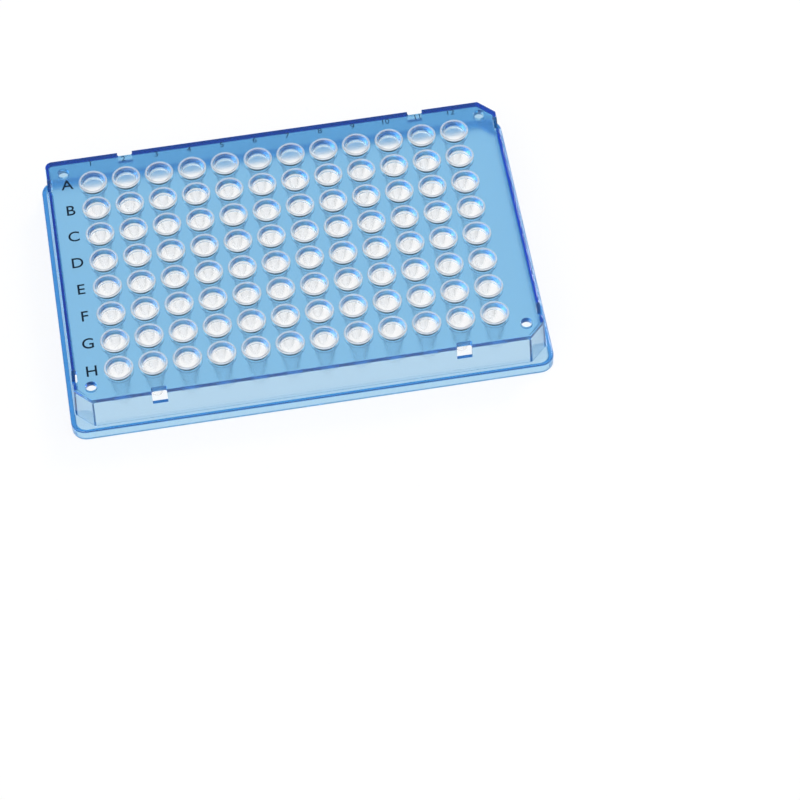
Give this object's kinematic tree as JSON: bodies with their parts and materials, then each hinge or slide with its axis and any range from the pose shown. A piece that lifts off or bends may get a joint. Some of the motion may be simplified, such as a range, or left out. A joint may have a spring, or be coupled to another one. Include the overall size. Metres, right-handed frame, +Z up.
{
  "type": "well plate",
  "caption": "Skirted well plate for small liquid samples: a rigid see-through blue frame with soft clear conical wells in its deck.",
  "frame": {"origin": "middle of the footprint, on the surface that the flange stands on", "axes": "+Z up out of the wells; +X along the long side, from column 1 to column 12; +Y from row H to row A, towards the back"},
  "size_m": [0.1278, 0.0854, 0.0144],
  "materials": {
    "frame": "clear, glossy, tinted blue",
    "wells": "clear, faintly hazy"
  },
  "bodies": {
    "root": {"frame": "frame", "wells_column_01": "wells", "wells_column_02": "wells", "wells_column_03": "wells", "wells_column_04": "wells", "wells_column_05": "wells", "wells_column_06": "wells", "wells_column_07": "wells", "wells_column_08": "wells", "wells_column_09": "wells", "wells_column_10": "wells", "wells_column_11": "wells", "wells_column_12": "wells"}
  },
  "joints": []
}
